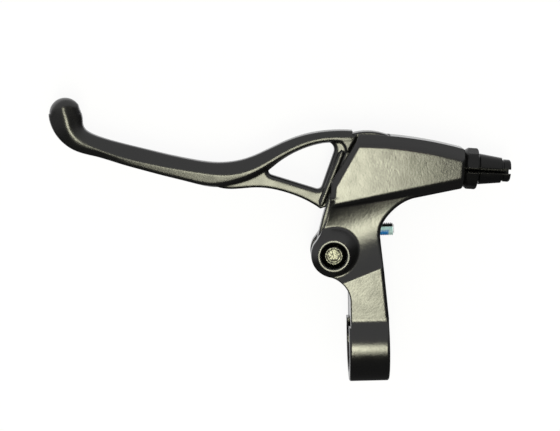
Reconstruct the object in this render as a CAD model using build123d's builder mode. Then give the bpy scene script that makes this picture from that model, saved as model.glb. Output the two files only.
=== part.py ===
from build123d import *
import os
from math import cos, radians, sin, sqrt, tan

# Bicycle brake lever for the left end of a flat handlebar, in millimetres.
# The origin is the centre of the handlebar clamp. X runs along the bar towards
# the cable, Y points forward to the lever blade, and Z points up.

# Handlebar clamp
BAR_DIAMETER = 22.2
CLAMP_WALL = 3.4
CLAMP_WIDTH = 15.4
CLAMP_SLIT = 2.2
CLAMP_EDGE_ROUND = 0.8
ARM_TOP = 10.5
ARM_BOTTOM = 6.5
ARM_START = 12.0
ARM_STEP = 0.8
ARM_STEP_Y = 8.5
ARM_BLEND = 4.0
ARM_EDGE_ROUND = 1.2

# Clamp bolt under the bar
CLAMP_BOLT_Y = 17.6
CLAMP_BOLT_DIAMETER = 5.0
CLAMP_BOLT_REACH = 9.0
CLAMP_HEAD_DIAMETER = 8.5
CLAMP_HEAD_HEIGHT = 5.0
CLAMP_HEAD_CHAMFER = 0.5
CLAMP_SOCKET_FLATS = 4.0
CLAMP_SOCKET_DEPTH = 2.6
WASHER_DIAMETER = 9.6
WASHER_THICKNESS = 0.9
LUG_SEAT_DEPTH = 2.6
LUG_MARGIN = 6.0
LUG_CORNER = 4.0
HOLE_SPARE = 1.0

# Lever pivot
PIVOT_X = -12.9
PIVOT_Y = 36.4
EAR_RADIUS = 8.6
EAR_GAP = 8.0
BOSS_HEIGHT = 11.0
BOSS_LAND_RADIUS = 6.2
BOSS_SLOPE = 46.0
BOSS_COVE = 1.2
PIVOT_BOLT_DIAMETER = 6.0
PIVOT_HEAD_DIAMETER = 9.4
PIVOT_HEAD_HEIGHT = 2.9
PIVOT_HEAD_FLANK = 1.9
PIVOT_FACE_DIAMETER = 7.0
PIVOT_FACE_CROWN = 0.3
PIVOT_SEAT = 7.4
PIVOT_SOCKET_FLATS = 4.0
PIVOT_SOCKET_DEPTH = 2.0
PIVOT_THREAD_DIAMETER = 5.0
PIVOT_THREAD_END = 0.4
NUT_FLATS = 8.0
NUT_HEIGHT = 3.4
NUT_SEAT = 6.6
NUT_INSERT_HEIGHT = 1.0
NUT_INSERT_WALL = 0.7
BUSH_WALL = 1.4
FLANGE_RADIUS = 6.0

# Clearances
RUNNING_CLEARANCE = 0.05
SEAT_CLEARANCE = 0.1
HEAD_CLEARANCE = 0.3
BOLT_CLEARANCE = 0.25
THREAD_CLEARANCE = 0.02
STOP_GAP = 0.5
REACH_GAP = 0.3
SIDE_GAP = 0.1

# Housing round the cable
HOUSING_DEPTH = 17.6
HOUSING_END_X = 37.35
HOUSING_END_Y = 67.7
HOUSING_CHAMFER = 3.7
HOUSING_FACE_ROUND = 2.5
HOUSING_END_ROUND = 1.2
CABLE_TILT = 5.0
CABLE_HOLE = 5.0
CABLE_SLOT = 2.0
HOUSING_FRONT_LEFT = (-4.2, 82.0)
HOUSING_FRONT_MIDDLE = (18.7, 79.8)
HOUSING_FRONT_RIGHT = (41.9, 74.0)
HOUSING_REAR_RIGHT = (41.0, 61.2)
HOUSING_REAR_LEFT = (-16.4, 50.9)
HOUSING_LEFT_LOW = (-15.9, 56.3)
HOUSING_LEFT_HIGH = (-15.1, 63.7)

# Mouth of the housing, where the lever goes in
MOUTH_FOOT = (-15.2, 49.0)
MOUTH_LOW = (-13.9, 56.1)
MOUTH_HIGH = (-13.1, 64.2)
MOUTH_SHOULDER = (-3.5, 79.3)
MOUTH_TOP = (-1.9, 83.0)
MOUTH_FAR = 60.0

# Scooped neck between housing and clamp
SCOOP_RADIUS = 40.0
SCOOP_FLOOR = 6.5
SCOOP_TURN = 21.0
SCOOP_X = -1.9
SCOOP_Y = 28.2
NECK_FOOT = (-9.6, 25.2)
NECK_FOOT_Y = 18.0
EAR_FOOT_ANGLE = 256.0
EAR_SIDE_ANGLE = 203.0
EAR_TOP_ANGLE = 150.0
NECK_LEFT = (-16.9, 46.0)
NECK_MOUTH = (-14.9, 51.5)
NECK_INNER_LEFT = (-13.5, 58.0)
NECK_INNER_RIGHT = (16.0, 62.0)
NECK_REAR = (19.5, 57.5)
NECK_REAR_WAY = (-1.0, -0.2)
NECK_CURVE_X = 9.6
NECK_ABOVE_SCREW = 7.3
NECK_RIGHT_X = 5.1
NECK_BELOW_SCREW = 2.9

# Lever blade, as a spine lofted through cross-sections
# Each style gives front slope, rear slope, edge radius and crown radius
ROUND_END = (24.0, 24.0, 2.6, 4.0)
WRIST = (30.0, 30.0, 1.6, 1.5)
GRIP_START = (32.0, 16.0, 1.4, 1.3)
FINGER = (32.0, 8.0, 1.4, 1.2)
ARCH = (34.0, 3.0, 0.7, 0.5)
REAR_EDGE_ROUND = 1.4
FLARE_ROUND = 0.4
FLARE_HEIGHT = 1.1
# Each station gives x, y, heading, width, depth, crown offset, rear flare and style
STATIONS = [
    (-113.9, 99.0, -92, 11.4, 10.8, 5.7, 0.4, ROUND_END),
    (-113.7, 92.0, -88, 11.9, 11.2, 6.0, 0.4, ROUND_END),
    (-112.2, 86.3, -66, 10.6, 10.6, 5.4, 0.4, ROUND_END),
    (-108.4, 82.1, -36, 8.6, 10.0, 4.8, 0.35, ROUND_END),
    (-101.5, 79.4, -20, 7.3, 9.6, 4.5, 0.35, WRIST),
    (-93.0, 76.7, -16, 7.4, 9.6, 4.8, 0.35, GRIP_START),
    (-84.0, 74.1, -15, 7.7, 9.7, 4.7, 0.4, FINGER),
    (-75.0, 71.6, -15, 7.9, 9.8, 4.4, 0.45, FINGER),
    (-67.0, 69.6, -13, 8.2, 9.9, 4.1, 0.5, FINGER),
    (-59.0, 68.1, -7, 8.5, 10.0, 4.1, 0.9, FINGER),
    (-51.0, 68.7, 5, 7.3, 10.0, 4.5, 2.0, FINGER),
    (-42.5, 71.3, 22, 5.8, 10.0, 4.1, 2.5, ARCH),
    (-35.0, 74.9, 27, 5.0, 10.0, 3.4, 1.3, ARCH),
    (-27.5, 78.4, 22, 4.4, 10.0, 2.8, 0.9, ARCH),
    (-19.5, 80.8, 11, 3.8, 10.0, 2.3, 0.9, ARCH),
    (-11.5, 81.5, 1, 3.8, 10.0, 2.2, 0.9, ARCH),
    (-4.8, 81.2, -4, 3.9, 10.0, 2.3, 0.9, ARCH),
]
HOOK_BALL = (-113.8, 92.3)
HOOK_BALL_RADIUS = 6.0

# Lever web, window and tongue
TONGUE_DEPTH = 6.6
EYE_RADIUS = 7.3
WEB_DEPTH = 5.2
SHOULDER_DEPTH = 9.6
WINDOW_RIM_ROUND = 1.7
STRUT_ROUND = 0.9
WEB_START = (-60.0, 64.5)
WEB_REAR = [(-53.4, 62.1), (-41.9, 62.3), (-29.7, 59.9)]
WEB_END = (-17.6, 53.6)
WEB_INNER = [(-10.0, 56.0), (-6.5, 76.0)]
WINDOW_LEFT = (-38.3, 67.8)
WINDOW_CROWN = (-26.0, 76.4)
WINDOW_RIGHT = (-10.4, 79.2)
WINDOW_LOW = (-17.3, 60.7)
WINDOW_LEFT_ROUND = 1.6
WINDOW_RIGHT_ROUND = 3.0
WINDOW_LOW_ROUND = 1.8
TONGUE_NOSE = (9.3, 81.0)
TONGUE_NOSE_MIDDLE = (2.7, 82.7)
TONGUE_NOSE_LEFT = (-5.0, 82.1)
TONGUE_HEEL = (8.9, 67.5)
TONGUE_BACK = (3.2, 59.5)
TONGUE_PAD_MARGIN = 0.6
TONGUE_WAIST = (-5.7, 37.5)
TONGUE_LEFT = [(-19.6, 39.4), (-16.6, 50.5), (-14.2, 58.0), (-10.6, 67.5), (-6.4, 77.5)]
SHOULDER_LEFT = [(-14.5, 80.6), (-9.4, 79.7), (-7.7, 77.6), (-6.9, 75.0)]
SHOULDER_RIGHT = [(-4.1, 79.5), (-3.3, 81.2), (-5.2, 81.9)]
SLOT_BELOW_EYE = [(-7.9, 30.4), (-13.0, 20.0), (-60.0, 20.0)]
SLOT_FAR = 95.0

# Cable anchor
ANCHOR_X = 0.6
ANCHOR_DIAMETER = 9.0
ANCHOR_LENGTH = 6.2
NIPPLE_DIAMETER = 6.0
NIPPLE_LENGTH = 5.0
WIRE_SLOT = 1.8
FAN_START = -3.0
FAN_END = -41.0
FAN_REACH = 15.0
FAN_TOP = 1.1

# Cable adjuster
SHANK_DIAMETER = 9.8
SHANK_LENGTH = 9.0
LOCK_RING_DIAMETER = 15.8
LOCK_RING_THICKNESS = 5.4
LOCK_RING_FLATS = 8
LOCK_RING_FLAT_DROP = 0.35
LOCK_RING_CONE = 1.7
LOCK_RING_CHAMFER = 1.1
LOCK_RING_EDGE = 0.4
BARREL_GAP = 0.8
BARREL_LENGTH = 8.5
BARREL_START_DIAMETER = 11.8
BARREL_END_DIAMETER = 9.6
GROOVE_WIDTH = 0.8
GROOVE_DIAMETER = 8.0
COLLAR_LENGTH = 2.7
COLLAR_DIAMETER = 8.5
COLLAR_ROUND = 0.9
WIRE_HOLE = 2.4
SOCKET_DIAMETER = 5.2
SOCKET_DEPTH = 11.0
ADJUSTER_SLOT = 1.7

# Reach screw
REACH_Y = 44.9
REACH_DIAMETER = 5.0
REACH_LENGTH = 12.0
REACH_END_X = 10.6
REACH_CHAMFER = 0.5
REACH_SOCKET_FLATS = 2.5
REACH_SOCKET_DEPTH = 2.5
PATCH_START = 2.5
PATCH_LENGTH = 2.0
PATCH_THICKNESS = 0.12
PATCH_FROM = 40.0
PATCH_SPAN = 90.0

# Sizes that follow from those above
bar_radius = BAR_DIAMETER / 2
ring_radius = bar_radius + CLAMP_WALL
half_width = CLAMP_WIDTH / 2
half_housing = HOUSING_DEPTH / 2
half_gap = EAR_GAP / 2
half_tongue = TONGUE_DEPTH / 2
slit_bottom = ARM_BOTTOM + CLAMP_SLIT
lug_end = CLAMP_BOLT_Y + LUG_MARGIN
lug_seat = ring_radius - LUG_SEAT_DEPTH
flange_thickness = half_gap - half_tongue - SIDE_GAP
bush_bore = PIVOT_BOLT_DIAMETER / 2 + RUNNING_CLEARANCE
bush_radius = bush_bore + BUSH_WALL
boss_base_radius = BOSS_LAND_RADIUS + (BOSS_HEIGHT - half_gap) / tan(radians(BOSS_SLOPE))
thread_radius = PIVOT_THREAD_DIAMETER / 2
head_top = PIVOT_SEAT + PIVOT_HEAD_HEIGHT
cable_rise = tan(radians(CABLE_TILT))
anchor_y = HOUSING_END_Y + (HOUSING_END_X - ANCHOR_X) * cable_rise
reach_tip = REACH_END_X - REACH_LENGTH
pad_x = reach_tip - REACH_GAP
half_pad = REACH_DIAMETER / 2 + TONGUE_PAD_MARGIN
neck_curve = (NECK_CURVE_X, REACH_Y + NECK_ABOVE_SCREW)
neck_right = (NECK_RIGHT_X, REACH_Y - NECK_BELOW_SCREW)
arm_way = (Vector(half_width, ARM_START) - Vector(*neck_right)).normalized()
barrel_start = LOCK_RING_THICKNESS + BARREL_GAP
barrel_end = barrel_start + BARREL_LENGTH
collar_start = barrel_end + GROOVE_WIDTH
adjuster_end = collar_start + COLLAR_LENGTH
arm_left = half_width - ARM_STEP
arm_root = sqrt(ring_radius**2 - ARM_TOP**2)
scoop_run = sqrt(2 * SCOOP_RADIUS * (ARM_TOP - SCOOP_FLOOR))

# Planes and axes that the pieces share
pivot = (PIVOT_X, PIVOT_Y)
pivot_axis = Axis((PIVOT_X, PIVOT_Y, 0), (0, 0, 1))
pivot_profile = Plane((PIVOT_X, PIVOT_Y, 0), x_dir=(1, 0, 0), z_dir=(0, -1, 0))
clamp_axis = Axis((0, CLAMP_BOLT_Y, 0), (0, 0, 1))
clamp_profile = Plane((0, CLAMP_BOLT_Y, 0), x_dir=(1, 0, 0), z_dir=(0, -1, 0))
cable_start = (HOUSING_END_X, HOUSING_END_Y, 0)
cable_way = (cos(radians(CABLE_TILT)), -sin(radians(CABLE_TILT)), 0)
cable_axis = Axis(cable_start, cable_way)
cable_plane = Plane(cable_start, x_dir=(0, 0, 1), z_dir=cable_way)
cable_profile = Plane(cable_start, x_dir=cable_way, z_dir=(cable_way[1], -cable_way[0], 0))
reach_plane = Plane((REACH_END_X, REACH_Y, 0), x_dir=(0, 1, 0), z_dir=(1, 0, 0))
anchor = (ANCHOR_X, anchor_y)


def polar(centre, radius, angle):
    """Point at an angle in degrees on a circle in plan."""
    return (centre[0] + radius * cos(radians(angle)), centre[1] + radius * sin(radians(angle)))


def beside(point):
    """Corner of the lever moved out to the wall that it stops at."""
    return (point[0] + STOP_GAP, point[1] - STOP_GAP / 2)


def nearest(builder, points):
    """For each point, the edge of a piece that passes closest to it."""
    return [builder.edges().sort_by_distance(point)[0] for point in points]


def finish(builder, name):
    """Label a finished piece and write it to its own file."""
    builder.part.label = name
    export_step(builder.part, f"parts/{name}.step")


os.makedirs("parts", exist_ok=True)

# Lever tongue in plan: eye at the pivot, leg, and nose inside the housing
tongue_right = [
    TONGUE_NOSE,
    TONGUE_HEEL,
    TONGUE_BACK,
    (pad_x, REACH_Y + half_pad),
    (pad_x, REACH_Y - half_pad),
    TONGUE_WAIST,
]
with BuildSketch(Plane.XY.offset(-half_tongue)) as tongue_plan:
    with Locations(pivot):
        Circle(EYE_RADIUS)
    with BuildLine():
        Polyline(*tongue_right, *TONGUE_LEFT, TONGUE_NOSE_LEFT)
        Spline(TONGUE_NOSE_LEFT, TONGUE_NOSE_MIDDLE, TONGUE_NOSE)
    make_face()

# Room for the tongue at rest and over its whole swing, which is towards the left
with BuildPart() as tongue_room:
    with BuildSketch(Plane.XY.offset(-half_gap)):
        with Locations(pivot):
            Circle(EYE_RADIUS + STOP_GAP)
        with BuildLine():
            Polyline(
                (TONGUE_NOSE[0] + STOP_GAP, SLOT_FAR),
                *[beside(corner) for corner in tongue_right],
                *SLOT_BELOW_EYE,
                (-MOUTH_FAR, SLOT_FAR),
                close=True,
            )
        make_face()
    extrude(amount=EAR_GAP)

# Lever body: neck and ears in plan
ear_foot = polar(pivot, EAR_RADIUS, EAR_FOOT_ANGLE)
ear_side = polar(pivot, EAR_RADIUS, EAR_SIDE_ANGLE)
ear_top = polar(pivot, EAR_RADIUS, EAR_TOP_ANGLE)
with BuildSketch() as neck_plan:
    with BuildLine():
        Polyline((half_width, ARM_START), (-arm_left, ARM_START), (-arm_left, NECK_FOOT_Y))
        ThreePointArc((-arm_left, NECK_FOOT_Y), NECK_FOOT, ear_foot)
        ThreePointArc(ear_foot, ear_side, ear_top)
        ThreePointArc(ear_top, NECK_LEFT, NECK_MOUTH)
        Polyline(NECK_MOUTH, NECK_INNER_LEFT, NECK_INNER_RIGHT, NECK_REAR)
        Spline(NECK_REAR, neck_curve, neck_right, tangents=[NECK_REAR_WAY, arm_way])
        Line(neck_right, (half_width, ARM_START))
    make_face()

# Scoop across the top of the neck
with BuildPart(Plane((
    SCOOP_X - scoop_run * sin(radians(SCOOP_TURN)),
    SCOOP_Y + scoop_run * cos(radians(SCOOP_TURN)),
    SCOOP_FLOOR + SCOOP_RADIUS,
), z_dir=(cos(radians(SCOOP_TURN)), sin(radians(SCOOP_TURN)), 0))) as scoop:
    Cylinder(SCOOP_RADIUS, 2 * MOUTH_FAR)

# Conical boss of an ear
with BuildPart(Plane((PIVOT_X, PIVOT_Y, half_gap))) as boss:
    Cone(boss_base_radius, BOSS_LAND_RADIUS, BOSS_HEIGHT - half_gap,
         align=(Align.CENTER, Align.CENTER, Align.MIN))

# Upper half of the neck: scooped, with the boss rising from a cove, trimmed to the outline
with BuildPart() as neck:
    with BuildSketch():
        Rectangle(4 * MOUTH_FAR, 4 * MOUTH_FAR)
    extrude(amount=ARM_TOP)
    add(scoop.part, mode=Mode.SUBTRACT)
    add(boss.part)
    fillet(neck.edges().filter_by(GeomType.BSPLINE), BOSS_COVE)
    add(neck_plan.sketch)
    extrude(amount=BOSS_HEIGHT, mode=Mode.INTERSECT)
    right_edges = nearest(neck, [
        (half_width, ARM_START + ARM_BLEND, ARM_TOP),
        (NECK_RIGHT_X, neck_right[1] - ARM_BLEND, ARM_TOP),
        (*neck_curve, SCOOP_FLOOR),
    ])
    fillet(right_edges, ARM_EDGE_ROUND)

# Lower half of the neck: flat, with its own boss
with BuildPart() as lower_neck:
    add(neck_plan.sketch)
    extrude(amount=-BOSS_HEIGHT)
    add(mirror(boss.part, about=Plane.XY, mode=Mode.PRIVATE), mode=Mode.INTERSECT)
    add(neck_plan.sketch)
    extrude(amount=-ARM_BOTTOM)

# Split clamp ring with its lug, drawn from the side
with BuildPart() as clamp:
    with BuildSketch(Plane.YZ.offset(-half_width)) as clamp_side:
        Circle(ring_radius)
        with BuildLine():
            Polyline((0, ARM_TOP), (ARM_START, ARM_TOP), (ARM_START, -ARM_BOTTOM), (0, -ARM_BOTTOM),
                     close=True)
        make_face()
        with BuildLine():
            Polyline((0, -slit_bottom), (lug_end, -slit_bottom), (lug_end, -ring_radius),
                     (0, -ring_radius), close=True)
        make_face()
        fillet(clamp_side.vertices().sort_by_distance((arm_root, ARM_TOP, 0))[0], ARM_BLEND)
        Circle(bar_radius, mode=Mode.SUBTRACT)
        with BuildLine():
            Polyline((0, -ARM_BOTTOM), (lug_end, -ARM_BOTTOM), (lug_end, -slit_bottom), (0, -slit_bottom),
                     close=True)
        make_face(mode=Mode.SUBTRACT)
    extrude(amount=CLAMP_WIDTH)

    rims = clamp.edges().filter_by(GeomType.CIRCLE)
    fillet(rims.filter_by(lambda edge: edge.radius > bar_radius + CLAMP_WALL / 2), CLAMP_EDGE_ROUND)
    with BuildSketch(Plane.XY.offset(-ring_radius)):
        with BuildLine():
            Polyline((-half_width, ARM_STEP_Y), (-arm_left, ARM_STEP_Y), (-arm_left, lug_end),
                     (-half_width, lug_end), close=True)
        make_face()
    extrude(amount=2 * ring_radius, mode=Mode.SUBTRACT)
    lug_corners = clamp.edges().filter_by(Axis.Z).group_by(Axis.Y)[-1]
    fillet(lug_corners, LUG_CORNER)

# Housing with wide bevels all round, trimmed to its mouth and its cable end
with BuildPart() as housing:
    with BuildSketch():
        with BuildLine():
            ThreePointArc(HOUSING_FRONT_LEFT, HOUSING_FRONT_MIDDLE, HOUSING_FRONT_RIGHT)
            Polyline(
                HOUSING_FRONT_RIGHT,
                HOUSING_REAR_RIGHT,
                HOUSING_REAR_LEFT,
                HOUSING_LEFT_LOW,
                HOUSING_LEFT_HIGH,
                HOUSING_FRONT_LEFT,
            )
        make_face()
    extrude(amount=half_housing, both=True)
    chamfer(housing.edges().filter_by(Plane.XY), HOUSING_CHAMFER)
    with BuildSketch(Plane.XY.offset(-half_housing)):
        with BuildLine():
            Polyline(
                MOUTH_FOOT,
                MOUTH_LOW,
                MOUTH_HIGH,
                MOUTH_SHOULDER,
                MOUTH_TOP,
                (MOUTH_TOP[0], SLOT_FAR),
                (-MOUTH_FAR, SLOT_FAR),
                (-MOUTH_FAR, MOUTH_FOOT[1]),
                close=True,
            )
        make_face()
    extrude(amount=HOUSING_DEPTH, mode=Mode.SUBTRACT)
    split(bisect_by=cable_plane, keep=Keep.BOTTOM)
    faces = housing.faces().filter_by(Plane.XY)
    fillet([edge for face in faces for edge in face.edges().sort_by(SortBy.LENGTH)[-2:]], HOUSING_FACE_ROUND)
    end_face = housing.faces().sort_by(Axis(cable_start, cable_way))[-1]
    fillet(end_face.edges(), HOUSING_END_ROUND)

# Lever body put together, with its holes, slots and seats
with BuildPart() as lever_body:
    add(neck.part)
    add(lower_neck.part)
    add(housing.part)
    add(clamp.part)
    add(tongue_room.part, mode=Mode.SUBTRACT)
    # Pivot hole with a round seat above and a six-sided nut pocket below
    with BuildSketch(Plane((PIVOT_X, PIVOT_Y, -BOSS_HEIGHT))):
        Circle(bush_bore)
    extrude(amount=2 * BOSS_HEIGHT, mode=Mode.SUBTRACT)
    with BuildSketch(Plane((PIVOT_X, PIVOT_Y, PIVOT_SEAT))):
        Circle(PIVOT_HEAD_DIAMETER / 2 + HEAD_CLEARANCE)
    extrude(amount=BOSS_HEIGHT - PIVOT_SEAT, mode=Mode.SUBTRACT)
    with BuildSketch(Plane((PIVOT_X, PIVOT_Y, -BOSS_HEIGHT))):
        RegularPolygon(NUT_FLATS / 2 + SEAT_CLEARANCE, 6, major_radius=False)
    extrude(amount=BOSS_HEIGHT - NUT_SEAT, mode=Mode.SUBTRACT)
    # Clamp bolt thread in the arm, clearance hole and seat in the lug
    with BuildSketch(Plane((0, CLAMP_BOLT_Y, -slit_bottom))):
        Circle(CLAMP_BOLT_DIAMETER / 2 + THREAD_CLEARANCE)
    extrude(amount=CLAMP_SLIT + CLAMP_BOLT_REACH + HOLE_SPARE, mode=Mode.SUBTRACT)
    with BuildSketch(Plane((0, CLAMP_BOLT_Y, -lug_seat))):
        Circle(CLAMP_BOLT_DIAMETER / 2 + BOLT_CLEARANCE)
    extrude(amount=lug_seat - slit_bottom, mode=Mode.SUBTRACT)
    with BuildSketch(Plane((0, CLAMP_BOLT_Y, -ring_radius))):
        Circle(WASHER_DIAMETER / 2 + HEAD_CLEARANCE)
    extrude(amount=LUG_SEAT_DEPTH, mode=Mode.SUBTRACT)
    # Threaded hole for the adjuster, cable hole and the slot that lets the cable in
    with BuildSketch(cable_plane):
        Circle(SHANK_DIAMETER / 2 + THREAD_CLEARANCE)
    extrude(amount=-SHANK_LENGTH - HOLE_SPARE, mode=Mode.SUBTRACT)
    with BuildSketch(cable_plane):
        Circle(CABLE_HOLE / 2)
    extrude(amount=TONGUE_NOSE[0] - HOUSING_END_X, mode=Mode.SUBTRACT)
    with BuildSketch(cable_plane):
        Rectangle(HOUSING_DEPTH, CABLE_SLOT, align=(Align.MAX, Align.CENTER))
    extrude(amount=TONGUE_NOSE[0] - HOUSING_END_X, mode=Mode.SUBTRACT)
    # Threaded hole for the reach screw
    with BuildSketch(reach_plane):
        Circle(REACH_DIAMETER / 2 + THREAD_CLEARANCE)
    extrude(amount=-REACH_LENGTH, mode=Mode.SUBTRACT)
finish(lever_body, "lever_body")

# Rounded end of the hook, as what lies outside a ball
with BuildPart() as hook_cut:
    with Locations((HOOK_BALL[0], HOOK_BALL[1] + 2 * HOOK_BALL_RADIUS, 0)):
        Box(5 * HOOK_BALL_RADIUS, 4 * HOOK_BALL_RADIUS, 5 * HOOK_BALL_RADIUS)
    with Locations((*HOOK_BALL, 0)):
        Sphere(HOOK_BALL_RADIUS, mode=Mode.SUBTRACT)

# Lever spine from the hook to the shoulder
with BuildPart() as spine:
    for x, y, heading, width, depth, crown, flare, style in STATIONS:
        front_slope, rear_slope, edge_round, crown_round = style
        front = depth / 2 - crown * tan(radians(front_slope))
        rear = depth / 2 - (width - crown) * tan(radians(rear_slope))
        upper = [
            (width / 2, front),
            (width / 2 - crown, depth / 2),
            (-width / 2, rear),
            (-width / 2 - flare, FLARE_HEIGHT),
        ]
        lower = [(across, -up) for across, up in reversed(upper)]
        rounds = [edge_round, crown_round, min(edge_round, REAR_EDGE_ROUND), FLARE_ROUND]
        side_way = (-sin(radians(heading)), cos(radians(heading)), 0)
        along_way = (cos(radians(heading)), sin(radians(heading)), 0)
        with BuildSketch(Plane((x, y, 0), x_dir=side_way, z_dir=along_way)):
            with BuildLine():
                FilletPolyline(*upper, *lower, radius=rounds + rounds[::-1], close=True)
            make_face()
    loft()
    add(hook_cut.part, mode=Mode.SUBTRACT)

# Thin web between spine and strut, with the window and its rounded rim
spine_line = [(station[0], station[1]) for station in STATIONS if station[0] > WEB_START[0]]
with BuildPart() as web:
    with BuildSketch(Plane.XY.offset(-WEB_DEPTH / 2)):
        with BuildLine():
            Spline(WEB_START, *WEB_REAR, WEB_END)
            Polyline(WEB_END, *WEB_INNER, *reversed(spine_line), WEB_START)
        make_face()
    extrude(amount=WEB_DEPTH)
    with BuildSketch(Plane.XY.offset(-WEB_DEPTH / 2)) as window:
        with BuildLine():
            ThreePointArc(WINDOW_LEFT, WINDOW_CROWN, WINDOW_RIGHT)
            Polyline(WINDOW_RIGHT, WINDOW_LOW, WINDOW_LEFT)
        make_face()
        fillet(window.vertices().sort_by(Axis.X)[0], WINDOW_LEFT_ROUND)
        fillet(window.vertices().sort_by(Axis.X)[-1], WINDOW_RIGHT_ROUND)
        fillet(window.vertices().sort_by(Axis.Y)[0], WINDOW_LOW_ROUND)
    extrude(amount=WEB_DEPTH, mode=Mode.SUBTRACT)
    faces = web.faces().filter_by(Plane.XY)
    fillet([edge for face in faces for edge in face.inner_wires()[0].edges()], WINDOW_RIM_ROUND)
    strut = web.edges().filter_by(GeomType.BSPLINE).filter_by(Plane.XY).sort_by(Axis.Y)
    fillet(strut[:2], STRUT_ROUND)

# Lever blade put together, with its eye, cable anchor hole and cable slot
with BuildPart() as lever_blade:
    add(spine.part)
    add(web.part)
    add(tongue_plan.sketch)
    extrude(amount=TONGUE_DEPTH)
    with BuildSketch(Plane.XY.offset(-SHOULDER_DEPTH / 2)):
        with BuildLine():
            Polyline(*SHOULDER_LEFT, *SHOULDER_RIGHT, close=True)
        make_face()
    extrude(amount=SHOULDER_DEPTH)
    with BuildSketch(Plane((PIVOT_X, PIVOT_Y, -half_tongue))):
        Circle(bush_radius)
    extrude(amount=TONGUE_DEPTH, mode=Mode.SUBTRACT)
    with BuildSketch(Plane((ANCHOR_X, anchor_y, -half_tongue))):
        Circle(ANCHOR_DIAMETER / 2 + RUNNING_CLEARANCE)
    extrude(amount=TONGUE_DEPTH, mode=Mode.SUBTRACT)
    with BuildSketch(Plane.XY.offset(-half_tongue)):
        with BuildLine():
            Polyline(
                anchor,
                polar(anchor, FAN_REACH, FAN_START),
                polar(anchor, FAN_REACH, FAN_END),
                close=True,
            )
        make_face()
    extrude(amount=half_tongue + FAN_TOP, mode=Mode.SUBTRACT)
finish(lever_blade, "lever_blade")

# Pivot bolt: domed head with a hex socket, smooth shank and threaded end
with BuildPart() as pivot_bolt:
    with BuildSketch(pivot_profile):
        with BuildLine():
            Polyline(
                (0, head_top),
                (0, -NUT_SEAT - NUT_HEIGHT - PIVOT_THREAD_END),
                (thread_radius, -NUT_SEAT - NUT_HEIGHT - PIVOT_THREAD_END),
                (thread_radius, -NUT_SEAT),
                (PIVOT_BOLT_DIAMETER / 2, -NUT_SEAT),
                (PIVOT_BOLT_DIAMETER / 2, PIVOT_SEAT),
                (PIVOT_HEAD_DIAMETER / 2, PIVOT_SEAT),
                (PIVOT_HEAD_DIAMETER / 2, head_top - PIVOT_HEAD_FLANK),
                (PIVOT_FACE_DIAMETER / 2, head_top - PIVOT_FACE_CROWN),
            )
            SagittaArc(
                (PIVOT_FACE_DIAMETER / 2, head_top - PIVOT_FACE_CROWN),
                (0, head_top),
                PIVOT_FACE_CROWN / 4,
            )
        make_face()
    revolve(axis=pivot_axis)
    with BuildSketch(Plane((PIVOT_X, PIVOT_Y, head_top))):
        RegularPolygon(PIVOT_SOCKET_FLATS / 2, 6, major_radius=False)
    extrude(amount=-PIVOT_SOCKET_DEPTH, mode=Mode.SUBTRACT)
finish(pivot_bolt, "pivot_bolt")

# Lock nut with a nylon ring at its lower end
insert_radius = thread_radius + THREAD_CLEARANCE + NUT_INSERT_WALL
with BuildPart() as pivot_nut:
    with BuildSketch(Plane((PIVOT_X, PIVOT_Y, -NUT_SEAT - NUT_HEIGHT))):
        RegularPolygon(NUT_FLATS / 2, 6, major_radius=False)
        Circle(thread_radius + THREAD_CLEARANCE, mode=Mode.SUBTRACT)
    extrude(amount=NUT_HEIGHT)
    with BuildSketch(Plane((PIVOT_X, PIVOT_Y, -NUT_SEAT - NUT_HEIGHT))):
        Circle(insert_radius)
    extrude(amount=NUT_INSERT_HEIGHT, mode=Mode.SUBTRACT)
finish(pivot_nut, "pivot_nut")

with BuildPart() as pivot_nut_insert:
    with BuildSketch(Plane((PIVOT_X, PIVOT_Y, -NUT_SEAT - NUT_HEIGHT))):
        Circle(insert_radius)
        Circle(thread_radius + THREAD_CLEARANCE, mode=Mode.SUBTRACT)
    extrude(amount=NUT_INSERT_HEIGHT)
finish(pivot_nut_insert, "pivot_nut_insert")

# Flanged bushes pressed into the lever eye from both sides
with BuildPart() as upper_pivot_bush:
    with BuildSketch(pivot_profile):
        with BuildLine():
            Polyline(
                (bush_bore, SIDE_GAP),
                (bush_radius, SIDE_GAP),
                (bush_radius, half_tongue),
                (FLANGE_RADIUS, half_tongue),
                (FLANGE_RADIUS, half_tongue + flange_thickness),
                (bush_bore, half_tongue + flange_thickness),
                close=True,
            )
        make_face()
    revolve(axis=pivot_axis)
finish(upper_pivot_bush, "upper_pivot_bush")

with BuildPart() as lower_pivot_bush:
    add(upper_pivot_bush.part.mirror(Plane.XY))
finish(lower_pivot_bush, "lower_pivot_bush")

# Round cable anchor that turns in the lever and holds the end of the cable
anchor_bottom = Plane((ANCHOR_X, anchor_y, -ANCHOR_LENGTH / 2), x_dir=cable_way, z_dir=(0, 0, 1))
with BuildPart() as cable_anchor:
    with BuildSketch(anchor_bottom):
        Circle(ANCHOR_DIAMETER / 2)
    extrude(amount=ANCHOR_LENGTH)
    with BuildSketch(anchor_bottom):
        Circle(NIPPLE_DIAMETER / 2)
    extrude(amount=NIPPLE_LENGTH, mode=Mode.SUBTRACT)
    with BuildSketch(anchor_bottom):
        Rectangle(ANCHOR_DIAMETER, WIRE_SLOT, align=(Align.MIN, Align.CENTER))
    extrude(amount=ANCHOR_LENGTH / 2 + WIRE_SLOT / 2, mode=Mode.SUBTRACT)
finish(cable_anchor, "cable_anchor")

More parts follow.
